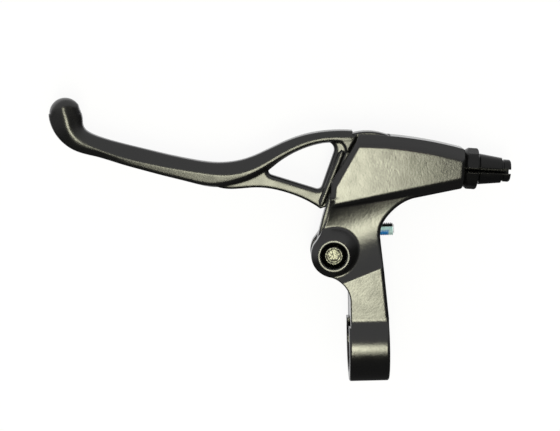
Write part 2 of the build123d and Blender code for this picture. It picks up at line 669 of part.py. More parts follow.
# Barrel adjuster with its threaded shank, tapered grip and cable socket
with BuildPart() as barrel_adjuster:
    with BuildSketch(cable_profile) as barrel_side:
        with BuildLine():
            Polyline(
                (-SHANK_LENGTH, WIRE_HOLE / 2),
                (-SHANK_LENGTH, SHANK_DIAMETER / 2),
                (barrel_start, SHANK_DIAMETER / 2),
                (barrel_start, BARREL_START_DIAMETER / 2),
                (barrel_end, BARREL_END_DIAMETER / 2),
                (barrel_end, GROOVE_DIAMETER / 2),
                (collar_start, GROOVE_DIAMETER / 2),
                (collar_start, COLLAR_DIAMETER / 2),
                (adjuster_end, COLLAR_DIAMETER / 2),
                (adjuster_end, SOCKET_DIAMETER / 2),
                (adjuster_end - SOCKET_DEPTH, SOCKET_DIAMETER / 2),
                (adjuster_end - SOCKET_DEPTH, WIRE_HOLE / 2),
                close=True,
            )
        make_face()
        collar_edge = (adjuster_end, COLLAR_DIAMETER / 2, 0)
        fillet(barrel_side.vertices().sort_by_distance(collar_edge)[0], COLLAR_ROUND)
    revolve(axis=cable_axis)
    with BuildSketch(cable_plane.offset(-SHANK_LENGTH)):
        Rectangle(BARREL_START_DIAMETER, ADJUSTER_SLOT, align=(Align.MIN, Align.CENTER))
    extrude(amount=SHANK_LENGTH + adjuster_end, mode=Mode.SUBTRACT)
finish(barrel_adjuster, "barrel_adjuster")

# Lock ring with a cone on its inner side, grip flats and a cable slot
lock_radius = LOCK_RING_DIAMETER / 2
lock_bore = SHANK_DIAMETER / 2 + THREAD_CLEARANCE
with BuildPart() as adjuster_lock_ring:
    with BuildSketch(cable_profile):
        with BuildLine():
            Polyline(
                (0, lock_bore),
                (0, lock_radius - LOCK_RING_CHAMFER),
                (LOCK_RING_CONE, lock_radius),
                (LOCK_RING_THICKNESS - LOCK_RING_EDGE, lock_radius),
                (LOCK_RING_THICKNESS, lock_radius - LOCK_RING_EDGE),
                (LOCK_RING_THICKNESS, lock_bore),
                close=True,
            )
        make_face()
    revolve(axis=cable_axis)
    with BuildSketch(cable_plane):
        RegularPolygon(lock_radius - LOCK_RING_FLAT_DROP, LOCK_RING_FLATS, major_radius=False)
    extrude(amount=LOCK_RING_THICKNESS, mode=Mode.INTERSECT)
    with BuildSketch(cable_plane):
        Rectangle(LOCK_RING_DIAMETER, ADJUSTER_SLOT, align=(Align.MIN, Align.CENTER))
    extrude(amount=LOCK_RING_THICKNESS, mode=Mode.SUBTRACT)
finish(adjuster_lock_ring, "adjuster_lock_ring")

# Reach screw, a set screw with a hex socket in its outer end
with BuildPart() as reach_screw:
    with BuildSketch(reach_plane):
        Circle(REACH_DIAMETER / 2)
    extrude(amount=-REACH_LENGTH)
    chamfer(reach_screw.edges().filter_by(GeomType.CIRCLE), REACH_CHAMFER)
    with BuildSketch(reach_plane):
        RegularPolygon(REACH_SOCKET_FLATS / 2, 6, major_radius=False)
    extrude(amount=-REACH_SOCKET_DEPTH, mode=Mode.SUBTRACT)
finish(reach_screw, "reach_screw")

# Patch of thread-locking compound on the upper side of the reach screw
with BuildPart() as thread_lock_patch:
    with BuildSketch(reach_plane.offset(-PATCH_START)):
        with BuildLine():
            CenterArc((0, 0), REACH_DIAMETER / 2 + PATCH_THICKNESS, PATCH_FROM, PATCH_SPAN)
            CenterArc((0, 0), REACH_DIAMETER / 2, PATCH_FROM, PATCH_SPAN)
            Line(polar((0, 0), REACH_DIAMETER / 2, PATCH_FROM),
                 polar((0, 0), REACH_DIAMETER / 2 + PATCH_THICKNESS, PATCH_FROM))
            Line(polar((0, 0), REACH_DIAMETER / 2, PATCH_FROM + PATCH_SPAN),
                 polar((0, 0), REACH_DIAMETER / 2 + PATCH_THICKNESS, PATCH_FROM + PATCH_SPAN))
        make_face()
    extrude(amount=-PATCH_LENGTH)
finish(thread_lock_patch, "thread_lock_patch")

# Clamp bolt from below, with its washer
head_top = -lug_seat - WASHER_THICKNESS
with BuildPart() as clamp_bolt:
    with BuildSketch(clamp_profile):
        with BuildLine():
            Polyline(
                (0, CLAMP_BOLT_REACH - ARM_BOTTOM),
                (CLAMP_BOLT_DIAMETER / 2, CLAMP_BOLT_REACH - ARM_BOTTOM),
                (CLAMP_BOLT_DIAMETER / 2, head_top),
                (CLAMP_HEAD_DIAMETER / 2, head_top),
                (CLAMP_HEAD_DIAMETER / 2, head_top - CLAMP_HEAD_HEIGHT + CLAMP_HEAD_CHAMFER),
                (CLAMP_HEAD_DIAMETER / 2 - CLAMP_HEAD_CHAMFER, head_top - CLAMP_HEAD_HEIGHT),
                (0, head_top - CLAMP_HEAD_HEIGHT),
                close=True,
            )
        make_face()
    revolve(axis=clamp_axis)
    with BuildSketch(Plane((0, CLAMP_BOLT_Y, head_top - CLAMP_HEAD_HEIGHT))):
        RegularPolygon(CLAMP_SOCKET_FLATS / 2, 6, major_radius=False)
    extrude(amount=CLAMP_SOCKET_DEPTH, mode=Mode.SUBTRACT)
finish(clamp_bolt, "clamp_bolt")

with BuildPart() as clamp_washer:
    with BuildSketch(Plane((0, CLAMP_BOLT_Y, head_top))):
        Circle(WASHER_DIAMETER / 2)
        Circle(CLAMP_BOLT_DIAMETER / 2 + BOLT_CLEARANCE, mode=Mode.SUBTRACT)
    extrude(amount=WASHER_THICKNESS)
finish(clamp_washer, "clamp_washer")
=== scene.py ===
"""Looks of the bicycle brake lever: finishes of the CAD pieces, the threaded pieces and a white studio."""
import math

import bpy
from mathutils import Matrix, Vector


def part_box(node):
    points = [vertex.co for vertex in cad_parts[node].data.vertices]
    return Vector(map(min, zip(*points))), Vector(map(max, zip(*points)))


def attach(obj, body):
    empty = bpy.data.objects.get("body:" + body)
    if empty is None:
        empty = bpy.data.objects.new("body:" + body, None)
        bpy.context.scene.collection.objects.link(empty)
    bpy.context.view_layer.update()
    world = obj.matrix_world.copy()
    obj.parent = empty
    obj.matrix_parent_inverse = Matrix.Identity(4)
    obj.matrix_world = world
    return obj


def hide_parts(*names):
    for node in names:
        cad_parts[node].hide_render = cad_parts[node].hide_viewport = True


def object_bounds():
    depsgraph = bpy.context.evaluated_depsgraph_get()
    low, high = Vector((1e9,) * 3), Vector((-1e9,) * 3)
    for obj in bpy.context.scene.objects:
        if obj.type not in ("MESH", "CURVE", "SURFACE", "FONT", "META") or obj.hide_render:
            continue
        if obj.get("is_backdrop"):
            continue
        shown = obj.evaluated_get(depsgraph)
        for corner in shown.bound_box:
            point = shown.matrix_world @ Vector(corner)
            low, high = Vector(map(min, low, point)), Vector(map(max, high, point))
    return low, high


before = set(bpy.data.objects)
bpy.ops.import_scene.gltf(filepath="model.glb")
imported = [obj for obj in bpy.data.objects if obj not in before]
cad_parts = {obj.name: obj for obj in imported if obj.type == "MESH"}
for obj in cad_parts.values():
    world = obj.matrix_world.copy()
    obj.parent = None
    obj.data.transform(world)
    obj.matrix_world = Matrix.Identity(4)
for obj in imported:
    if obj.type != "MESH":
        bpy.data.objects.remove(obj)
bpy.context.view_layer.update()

bl_info = {
    "name": "Bicycle brake lever looks",
    "version": (1, 0, 0),
    "blender": (4, 5, 0),
    "location": "3D View > Sidebar > Brake lever",
    "description": "Finishes, threaded pieces and studio of a bicycle brake lever",
    "category": "Object",
}

MM = 0.001
TURN = 2 * math.pi
# Heights and radii closer than this count as the same.
TOLERANCE = 0.01 * MM
# Most values of a noise texture lie between these two.
NOISE_LOW, NOISE_HIGH = 0.3, 0.7
# Sockets of a Mix node that mixes colours.
MIX_FACTOR, MIX_A, MIX_B, MIX_RESULT = 0, 6, 7, 2

# Rows of points along one turn of a thread.
CUTS_PER_TURN = 8
# Rounding of the bolt's rim, as a share of its width.
RIM_ROUND_SHARE = 0.45

# Gap between the object's lowest point and the floor.
FLOOR_GAP = 0.2 * MM
# Light that lamps and fill bring to the open floor. Its glow makes up the rest of its white.
FLOOR_LIGHT = 0.92
# Width of the camera's sensor, in mm.
SENSOR_MM = 36

# Room that mirror rays see: it brightens towards the front and the left, from one level to the other.
ROOM_X_WEIGHT = -0.35
ROOM_FADE = (-0.3, 0.45)
ROOM_LEVELS = (0.05, 0.52)
# White paper in that room: it fades in below, sooner towards the front and the left.
PAPER_X_WEIGHT = 0.5
PAPER_Y_WEIGHT = -0.4
PAPER_FADE = (-0.6, -0.95)


# Helpers

def linear(hex_colour):
    """Linear RGBA of an sRGB colour written as #rrggbb."""
    channels = [int(hex_colour[i:i + 2], 16) / 255 for i in (1, 3, 5)]
    return [c / 12.92 if c <= 0.04045 else ((c + 0.055) / 1.055) ** 2.4 for c in channels] + [1.0]


def add_node(tree, kind, inputs=None, **settings):
    """Adds a shader node, sets its properties, and sets or links its inputs."""
    node = tree.nodes.new("ShaderNode" + kind)
    for name, value in settings.items():
        setattr(node, name, value)
    for name, value in (inputs or {}).items():
        if isinstance(value, bpy.types.NodeSocket):
            tree.links.new(value, node.inputs[name])
        else:
            node.inputs[name].default_value = value
    return node


def new_material(name):
    """An empty node material and its output node."""
    material = bpy.data.materials.new(name)
    material.use_nodes = True
    tree = material.node_tree
    tree.nodes.clear()
    return material, tree, add_node(tree, "OutputMaterial")


def wear(material, *names):
    """Gives a material to CAD nodes or pieces."""
    for name in names:
        obj = bpy.data.objects[name]
        obj.data.materials.clear()
        obj.data.materials.append(material)


# Grain and tool lay are finer on the real pieces, and are drawn as coarse as they need to show.

def coated(name, colour, gloss, grain_mm, grain_depth_mm, wave_mm, wave_depth_mm, edge_mm, ior=1.5):
    """A coat or plastic: fine grain, slow waves as cast, mottled gloss, and edges that catch light."""
    material, tree, output = new_material(name)
    place = add_node(tree, "TexCoord").outputs["Object"]
    wave = add_node(tree, "TexNoise", {"Vector": place, "Scale": 1 / (wave_mm * MM), "Detail": 2.0})
    rough = add_node(tree, "MapRange", {
        "Value": wave.outputs["Fac"], "From Min": NOISE_LOW, "From Max": NOISE_HIGH,
        "To Min": gloss[0], "To Max": gloss[1]})
    grain = add_node(tree, "TexNoise", {"Vector": place, "Scale": 1 / (grain_mm * MM), "Detail": 2.0})
    relief = add_node(tree, "Math", {0: grain.outputs["Fac"], 1: grain_depth_mm * MM}, operation="MULTIPLY")
    relief = add_node(tree, "Math", {0: wave.outputs["Fac"], 1: wave_depth_mm * MM, 2: relief.outputs[0]},
                      operation="MULTIPLY_ADD")
    edge = add_node(tree, "Bevel", {"Radius": edge_mm * MM}, samples=16)
    bump = add_node(tree, "Bump", {
        "Height": relief.outputs[0], "Distance": 1.0, "Normal": edge.outputs["Normal"]})
    shader = add_node(tree, "BsdfPrincipled", {
        "Base Color": linear(colour), "IOR": ior,
        "Roughness": rough.outputs["Result"], "Normal": bump.outputs["Normal"]})
    tree.links.new(shader.outputs["BSDF"], output.inputs["Surface"])
    return material


def compound(name, deep, thin_and_lit, low_side, end):
    """A dried film on a thread: deep where it gathered, pale in thin streaks, with a painted highlight that
    pales it towards the top and the end.
    """
    # Width of the streaks, and their share in how thin the film is.
    streak_mm = 0.8
    streak_share = 0.5
    # Painted highlight: height over which the colour is painted paler towards +Y, and where towards the outer
    # end it starts to be painted paler and is pale.
    top_highlight_rise_mm = 2.6
    end_highlight_start_mm = 2.6
    end_highlight_full_mm = 1.0
    # The colour is deep below the first level and pale above the second; the level adds the streaks of thin
    # film to the painted highlight.
    film_and_highlight_low, film_and_highlight_high = 0.35, 0.75
    material, tree, output = new_material(name)
    place = add_node(tree, "TexCoord").outputs["Object"]
    parts = add_node(tree, "SeparateXYZ", {0: place})
    streak = add_node(tree, "TexNoise", {"Vector": place, "Scale": 1 / (streak_mm * MM), "Detail": 1.0})
    # Painted highlight: the colour is painted paler towards +Y across the screw.
    top = add_node(tree, "MapRange", {
        "Value": parts.outputs["Y"], "From Min": low_side, "From Max": low_side + top_highlight_rise_mm * MM})
    # Painted highlight: the colour is painted paler towards the screw's outer end.
    end_highlight = add_node(tree, "MapRange", {
        "Value": parts.outputs["X"], "From Min": end - end_highlight_start_mm * MM, "From Max": end - end_highlight_full_mm * MM})
    level = add_node(tree, "Math", {0: top.outputs["Result"], 1: end_highlight.outputs["Result"]}, operation="MAXIMUM")
    level = add_node(tree, "Math", {0: streak.outputs["Fac"], 1: streak_share, 2: level.outputs[0]},
                     operation="MULTIPLY_ADD")
    film_and_highlight = add_node(tree, "MapRange", {
        "Value": level.outputs[0], "From Min": film_and_highlight_low, "From Max": film_and_highlight_high})
    colour = add_node(tree, "Mix", {
        MIX_FACTOR: film_and_highlight.outputs["Result"], MIX_A: linear(deep), MIX_B: linear(thin_and_lit)}, data_type="RGBA")
    shader = add_node(tree, "BsdfPrincipled", {"Base Color": colour.outputs[MIX_RESULT], "Roughness": 0.4})
    tree.links.new(shader.outputs["BSDF"], output.inputs["Surface"])
    return material


def metal(name, colour, gloss, lay_mm, edge_mm, dent_mm=0.0):
    """Bare or plated metal with a faint tool lay in its gloss and, where it has dents, glints on them."""
    material, tree, output = new_material(name)
    place = add_node(tree, "TexCoord").outputs["Object"]
    lay = add_node(tree, "TexNoise", {"Vector": place, "Scale": 1 / (lay_mm * MM), "Detail": 2.0})
    rough = add_node(tree, "MapRange", {
        "Value": lay.outputs["Fac"], "From Min": NOISE_LOW, "From Max": NOISE_HIGH,
        "To Min": gloss[0], "To Max": gloss[1]})
    edge = add_node(tree, "Bevel", {"Radius": edge_mm * MM}, samples=6)
    bump = add_node(tree, "Bump", {
        "Height": lay.outputs["Fac"], "Distance": dent_mm * MM, "Normal": edge.outputs["Normal"]})
    shader = add_node(tree, "BsdfPrincipled", {
        "Base Color": linear(colour), "Metallic": 1.0,
        "Roughness": rough.outputs["Result"], "Normal": bump.outputs["Normal"]})
    tree.links.new(shader.outputs["BSDF"], output.inputs["Surface"])
    return material


def select_edges(obj, test):
    """In edit mode, selects the edges whose two end points pass the test, and nothing else."""
    bpy.ops.mesh.select_mode(type="EDGE")
    bpy.ops.mesh.select_all(action="DESELECT")
    bpy.ops.object.mode_set(mode="OBJECT")
    mesh = obj.data
    for edge in mesh.edges:
        first, second = (mesh.vertices[i].co for i in edge.vertices)
        edge.select = test(first, second)
    bpy.ops.object.mode_set(mode="EDIT")


def apply_modifier(obj, kind, **settings):
    """Adds a modifier, sets it and applies it."""
    modifier = obj.modifiers.new(kind.lower(), kind)
    for name, value in settings.items():
        setattr(modifier, name, value)
    bpy.ops.object.modifier_apply(modifier=modifier.name)


def finish_piece(obj, name, body, material, smooth_deg):
    """Puts the piece's place in its mesh, smooths it, and hands it to its body and finish."""
    obj.name = obj.data.name = name
    bpy.ops.object.transform_apply(location=True, rotation=True, scale=True)
    bpy.ops.object.shade_smooth_by_angle(angle=math.radians(smooth_deg))
    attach(obj, body)
    wear(material, name)


# Settings

class LegRibSizes(bpy.types.PropertyGroup):
    """Half-round rib along the leg between the window and the mouth."""
    upper_end: bpy.props.FloatVectorProperty(
        name="Upper end", description="Middle of the rib's upper end", subtype="XYZ", unit="LENGTH",
        default=(-8.5 * MM, 75.8 * MM, 2.5 * MM), precision=5)
    lower_end: bpy.props.FloatVectorProperty(
        name="Lower end", description="Middle of the rib's lower end", subtype="XYZ", unit="LENGTH",
        default=(-17.35 * MM, 54.8 * MM, 2.5 * MM), precision=5)
    half_width: bpy.props.FloatProperty(
        name="Half width", description="Half of the rib's width",
        unit="LENGTH", default=1.45 * MM, precision=5)
    height: bpy.props.FloatProperty(
        name="Height", description="Crest above the rib's middle",
        unit="LENGTH", default=1.1 * MM, precision=5)
    end_taper: bpy.props.FloatProperty(
        name="End taper", description="Width left at the rounded ends", subtype="FACTOR", default=0.45)


class BoltRimSizes(bpy.types.PropertyGroup):
    """Rounded rim on the face of the pivot bolt."""
    outer: bpy.props.FloatProperty(
        name="Outer radius", description="Outside of the rim", unit="LENGTH", default=3.6 * MM, precision=5)
    inner: bpy.props.FloatProperty(
        name="Inner radius", description="Inside of the rim", unit="LENGTH", default=2.45 * MM, precision=5)
    height: bpy.props.FloatProperty(
        name="Height", description="Above the bolt's face", unit="LENGTH", default=0.45 * MM, precision=5)
    sunk: bpy.props.FloatProperty(
        name="Sunk", description="Below the bolt's face", unit="LENGTH", default=0.4 * MM, precision=5)


class ReachScrewSizes(bpy.types.PropertyGroup):
    """Thread of the reach screw and the compound on it."""
    pitch: bpy.props.FloatProperty(
        name="Pitch", description="From thread to thread", unit="LENGTH", default=0.8 * MM, precision=5)
    thread_depth: bpy.props.FloatProperty(
        name="Thread depth", description="From crest to root", unit="LENGTH", default=0.6 * MM, precision=5)
    chamfer: bpy.props.FloatProperty(
        name="Chamfer", description="At both ends", unit="LENGTH", default=0.4 * MM, precision=5)
    socket_flats: bpy.props.FloatProperty(
        name="Socket", description="Across the flats of the hex socket",
        unit="LENGTH", default=2.5 * MM, precision=5)
    socket_depth: bpy.props.FloatProperty(
        name="Socket depth", description="Depth of the hex socket",
        unit="LENGTH", default=2.5 * MM, precision=5)
    patch_thickness: bpy.props.FloatProperty(
        name="Compound", description="Thickness of the compound",
        unit="LENGTH", default=0.1 * MM, precision=5)
    patch_depth: bpy.props.FloatProperty(
        name="Compound depth", description="From crest to root where the compound half fills the thread",
        unit="LENGTH", default=0.2 * MM, precision=5)
    patch_inset: bpy.props.FloatProperty(
        name="Compound inset", description="From the screw's outer end to the compound",
        unit="LENGTH", default=0.45 * MM, precision=5)
    patch_length: bpy.props.FloatProperty(
        name="Compound length", description="Along the screw", unit="LENGTH", default=4.9 * MM, precision=5)
    patch_sides: bpy.props.FloatVectorProperty(
        name="Compound sides", description="Where the compound ends on the rear and the front, from the top",
        size=2, unit="ROTATION", default=(math.radians(-95), math.radians(28)))


class LeverFinishes(bpy.types.PropertyGroup):
    """Colours of the finishes, as sRGB hex."""
    coat: bpy.props.StringProperty(
        name="Coat", description="Black coat of body and blade", default="#0a0a0a")
    adjuster: bpy.props.StringProperty(
        name="Adjuster", description="Black anodising", default="#09090a")
    steel: bpy.props.StringProperty(
        name="Bolt", description="Black oxide steel", default="#6c6c64")
    zinc: bpy.props.StringProperty(
        name="Zinc", description="Zinc-plated steel", default="#b9bcbe")
    brass: bpy.props.StringProperty(
        name="Brass", description="Brass of the cable anchor", default="#b08d4a")
    nylon: bpy.props.StringProperty(
        name="Nylon", description="Nylon of the lock nut", default="#e6e2d4")
    bush: bpy.props.StringProperty(
        name="Bush", description="Plastic of the pivot bushes", default="#151516")
    screw: bpy.props.StringProperty(
        name="Screw", description="Black oxide thread", default="#7a7a7c")
    patch: bpy.props.StringProperty(
        name="Compound", description="Thick thread-locking compound", default="#349cf5")
    # Pale colour of the thin film, also painted as highlight at the compound's top and outer end.
    patch_thin_and_lit: bpy.props.StringProperty(
        name="Thin compound", description="Thin film of it", default="#dcfaff")


class StudioSettings(bpy.types.PropertyGroup):
    """Camera, floor, fill light and lamps."""
    camera_target: bpy.props.FloatVectorProperty(
        name="Camera target", description="Point the camera looks at", subtype="XYZ", unit="LENGTH",
        default=(-0.032983, 0.051014, 0.0), precision=5)
    camera_distance: bpy.props.FloatProperty(
        name="Camera distance", description="From target to camera", unit="LENGTH", default=0.6)
    camera_elevation: bpy.props.FloatProperty(
        name="Camera elevation", description="Past 90 it leans forward",
        subtype="ANGLE", default=math.radians(98))
    camera_roll: bpy.props.FloatProperty(
        name="Camera roll", description="Turn about the view line",
        subtype="ANGLE", default=math.radians(1.4))
    camera_lens: bpy.props.FloatProperty(
        name="Lens", description="Focal length in mm on a 36 mm sensor", unit="CAMERA", default=100.286)
    floor_size: bpy.props.FloatProperty(
        name="Floor", description="Side of the floor", unit="LENGTH", default=3.0)
    floor_shadow: bpy.props.FloatProperty(
        name="Floor shadow", description="How much of the floor's white can be shaded",
        subtype="FACTOR", default=0.12)
    fill: bpy.props.FloatProperty(name="Fill", description="Level of the even light", default=0.7)
    lamp_distance: bpy.props.FloatProperty(
        name="Lamp distance", description="From target to each lamp", unit="LENGTH", default=1.0)
    lamp_colour: bpy.props.StringProperty(
        name="Lamp colour", description="Warm softbox", default="#fffee0")
    key_lean: bpy.props.FloatVectorProperty(
        name="Key lean", description="Lean of the key softbox from overhead, along X and Y",
        size=2, unit="ROTATION", default=(math.radians(-0.1), math.radians(-8.5)))
    key_size: bpy.props.FloatVectorProperty(
        name="Key size", description="Sides of the softbox", size=2, unit="LENGTH", default=(0.256, 0.555))
    key_power: bpy.props.FloatProperty(name="Key power", description="Watts", unit="POWER", default=2.25)
    core_lean: bpy.props.FloatVectorProperty(
        name="Core lean", description="Lean of the softbox's bright core from overhead, along X and Y",
        size=2, unit="ROTATION", default=(math.radians(0.8), math.radians(-7.0)))
    core_size: bpy.props.FloatVectorProperty(
        name="Core size", description="Sides of the bright core",
        size=2, unit="LENGTH", default=(0.215, 0.26))
    core_power: bpy.props.FloatProperty(name="Core power", description="Watts", unit="POWER", default=1.45)
    card_lean: bpy.props.FloatVectorProperty(
        name="Card lean", description="Lean of the small card from overhead, along X and Y",
        size=2, unit="ROTATION", default=(math.radians(-6.4), math.radians(-22.3)))
    card_size: bpy.props.FloatVectorProperty(
        name="Card size", description="Sides of the card", size=2, unit="LENGTH", default=(0.15, 0.13))
    card_power: bpy.props.FloatProperty(name="Card power", description="Watts", unit="POWER", default=0.35)


# Pieces and finishes

class LEVER_OT_coat_castings(bpy.types.Operator):
    """Gives the body and the blade their black coat"""
    bl_idname = "lever.coat_castings"
    bl_label = "Coat body and blade"

    def execute(self, context):
        finish = context.scene.lever_finishes
        # Satin black paint: grainy sheen on the flats, light edges, softer on the forged blade.
        for node, name, gloss, edge in (("lever_body", "satin_black_paint_cast", (0.18, 0.23), 1.0),
                                        ("lever_blade", "satin_black_paint_forged", (0.24, 0.3), 1.4)):
            wear(coated(name, finish.coat, gloss, grain_mm=0.8, grain_depth_mm=0.02,
                        wave_mm=5.0, wave_depth_mm=0.04, edge_mm=edge, ior=1.75), node)
        return {"FINISHED"}


class LEVER_OT_model_leg_rib(bpy.types.Operator):
    """Models the half-round rib that stiffens the leg beside the window"""
    bl_idname = "lever.model_leg_rib"
    bl_label = "Model leg rib"

    def execute(self, context):
        sizes = context.scene.lever_leg_rib
        start, end = Vector(sizes.upper_end), Vector(sizes.lower_end)
        run = end - start
        bpy.ops.object.select_all(action="DESELECT")
        # An oval section across the leg, extruded along it, with tapered ends.
        turned = run.to_track_quat("Z", "Y").to_euler()
        bpy.ops.mesh.primitive_circle_add(
            vertices=32, radius=1.0, fill_type="NGON", location=start, rotation=turned)
        rib = context.object
        rib.scale = (sizes.half_width, sizes.height, 1.0)
        bpy.ops.object.transform_apply(location=False, rotation=False, scale=True)
        round_end = sizes.half_width
        bpy.ops.object.mode_set(mode="EDIT")
        bpy.ops.mesh.select_all(action="SELECT")
        bpy.ops.transform.resize(value=(sizes.end_taper, sizes.end_taper, 1.0))
        along = run.normalized()
        for step, grow in ((round_end, 1 / sizes.end_taper), (run.length - 2 * round_end, 1.0),
                           (round_end, sizes.end_taper)):
            bpy.ops.mesh.extrude_region_move(TRANSFORM_OT_translate={"value": along * step})
            bpy.ops.transform.resize(value=(grow, grow, 1.0))
        bpy.ops.mesh.select_all(action="SELECT")
        bpy.ops.mesh.normals_make_consistent(inside=False)
        bpy.ops.object.mode_set(mode="OBJECT")
        finish_piece(rib, "leg_rib", "lever",
                     bpy.data.materials["satin_black_paint_forged"], smooth_deg=60)
        return {"FINISHED"}


class LEVER_OT_model_reach_screw(bpy.types.Operator):
    """Models the threaded reach screw with its hex socket and the locking compound on it"""
    bl_idname = "lever.model_reach_screw"
    bl_label = "Model reach screw"

    def execute(self, context):
        sizes, finish = context.scene.lever_reach_screw, context.scene.lever_finishes
        low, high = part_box("reach_screw")
        length, radius = high.x - low.x, (high.y - low.y) / 2
        middle = (low + high) / 2
        screw = self.threaded_rod(context, sizes, length, radius, sizes.thread_depth)

        # Compound: a skin that half fills the thread, cut out of a shallower one.
        patch = self.threaded_rod(context, sizes, length, radius, sizes.patch_depth)
        top = length / 2 - sizes.patch_inset
        bpy.ops.object.mode_set(mode="EDIT")
        rear, front = sizes.patch_sides
        for place, normal in (((0, 0, top), (0, 0, 1)), ((0, 0, top - sizes.patch_length), (0, 0, -1)),
                              ((0, 0, 0), (math.sin(front), math.cos(front), 0)),
                              ((0, 0, 0), (-math.sin(rear), -math.cos(rear), 0))):
            bpy.ops.mesh.select_all(action="SELECT")
            bpy.ops.mesh.bisect(plane_co=place, plane_no=normal, clear_outer=True)
        bpy.ops.object.mode_set(mode="OBJECT")
        apply_modifier(patch, "SOLIDIFY", thickness=sizes.patch_thickness, offset=1.0)
        self.lay_down(context, patch, middle)
        # Dried compound: pale in thin streaks and deep blue where it gathered between the threads, with a
        # painted highlight that pales it towards +Y and the outer end.
        finish_piece(patch, "compound_on_thread", "reach",
                     compound("thread_lock_compound", finish.patch, finish.patch_thin_and_lit,
                              low_side=middle.y - radius / 2, end=high.x), smooth_deg=40)
        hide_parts("thread_lock_patch")

        # Hex socket in the outer end.
        bpy.ops.object.select_all(action="DESELECT")
        bpy.ops.mesh.primitive_cylinder_add(
            vertices=6, radius=sizes.socket_flats / math.sqrt(3), depth=2 * sizes.socket_depth,
            location=(0, 0, length / 2))
        key = context.object
        bpy.ops.object.select_all(action="DESELECT")
        context.view_layer.objects.active = screw
        screw.select_set(True)
        apply_modifier(screw, "BOOLEAN", object=key, operation="DIFFERENCE", solver="EXACT")
        bpy.data.objects.remove(key)
        self.lay_down(context, screw, middle)
        # Black oxide steel: dark but metallic, so that thread crests flash.
        oxide = metal("black_oxide_thread", finish.screw, gloss=(0.25, 0.35), lay_mm=0.6, edge_mm=0.05)
        finish_piece(screw, "threaded_reach_screw", "reach", oxide, smooth_deg=40)
        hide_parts("reach_screw")
        return {"FINISHED"}

    def threaded_rod(self, context, sizes, length, radius, depth):
        """An off-centre rod with chamfered ends, twisted once per pitch: a rounded thread."""
        eccentric = depth / 2
        bpy.ops.object.select_all(action="DESELECT")
        bpy.ops.mesh.primitive_cylinder_add(vertices=24, radius=radius - eccentric, depth=length)
        rod = context.object
        bpy.ops.object.mode_set(mode="EDIT")
        bpy.ops.mesh.select_all(action="SELECT")
        bpy.ops.transform.translate(value=(eccentric, 0, 0))
        near_end = length / 2 - TOLERANCE
        select_edges(rod, lambda first, second: (
            min(abs(first.z), abs(second.z)) > near_end and first.z * second.z > 0))
        bpy.ops.mesh.bevel(offset=sizes.chamfer, segments=1)
        select_edges(rod, lambda first, second: first.z * second.z < 0)
        turns = length / sizes.pitch
        bpy.ops.mesh.subdivide(number_cuts=int(turns * CUTS_PER_TURN))
        bpy.ops.object.mode_set(mode="OBJECT")
        apply_modifier(rod, "SIMPLE_DEFORM", deform_method="TWIST", deform_axis="Z", angle=turns * TURN)
        return rod

    def lay_down(self, context, piece, middle):
        """Turns a piece made upright into the screw's line."""
        bpy.ops.object.select_all(action="DESELECT")
        context.view_layer.objects.active = piece
        piece.select_set(True)
        piece.rotation_euler = (0, math.pi / 2, 0)
        piece.location = middle


class LEVER_OT_model_bolt_rim(bpy.types.Operator):
    """Models the rounded rim round the socket of the pivot bolt"""
    bl_idname = "lever.model_bolt_rim"
    bl_label = "Model bolt rim"

    def execute(self, context):
        sizes = context.scene.lever_bolt_rim
        low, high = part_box("pivot_bolt")
        middle = (low + high) / 2
        width = sizes.outer - sizes.inner
        bpy.ops.object.select_all(action="DESELECT")
        bpy.ops.mesh.primitive_circle_add(
            vertices=64, radius=sizes.outer, fill_type="NGON",
            location=(middle.x, middle.y, high.z - sizes.sunk))
        rim = context.object
        bpy.ops.object.mode_set(mode="EDIT")
        bpy.ops.mesh.select_all(action="SELECT")
        bpy.ops.mesh.inset(thickness=width)
        bpy.ops.mesh.delete(type="FACE")
        bpy.ops.mesh.select_all(action="SELECT")
        bpy.ops.mesh.extrude_region_move(
            TRANSFORM_OT_translate={"value": (0, 0, sizes.height + sizes.sunk)})
        top = sizes.height + sizes.sunk / 2
        select_edges(rim, lambda first, second: (
            min(first.z, second.z) > top and abs(first.length - second.length) < TOLERANCE))
        bpy.ops.mesh.bevel(offset=RIM_ROUND_SHARE * width, segments=5)
        bpy.ops.mesh.select_all(action="SELECT")
        bpy.ops.mesh.normals_make_consistent(inside=False)
        bpy.ops.object.mode_set(mode="OBJECT")
        finish_piece(rim, "bolt_rim", "body",
                     bpy.data.materials["black_oxide_steel"], smooth_deg=60)
        return {"FINISHED"}


class LEVER_OT_finish_adjuster(bpy.types.Operator):
    """Finishes the barrel adjuster and its lock ring"""
    bl_idname = "lever.finish_adjuster"
    bl_label = "Finish cable adjuster"

    def execute(self, context):
        finish = context.scene.lever_finishes
        # Black anodised aluminium: darker than the paint, with a finer grain.
        anodised = coated("black_anodised_aluminium", finish.adjuster, gloss=(0.24, 0.3), grain_mm=0.5,
                          grain_depth_mm=0.008, wave_mm=3.0, wave_depth_mm=0.0, edge_mm=0.5, ior=1.45)
        wear(anodised, "barrel_adjuster", "adjuster_lock_ring")
        return {"FINISHED"}


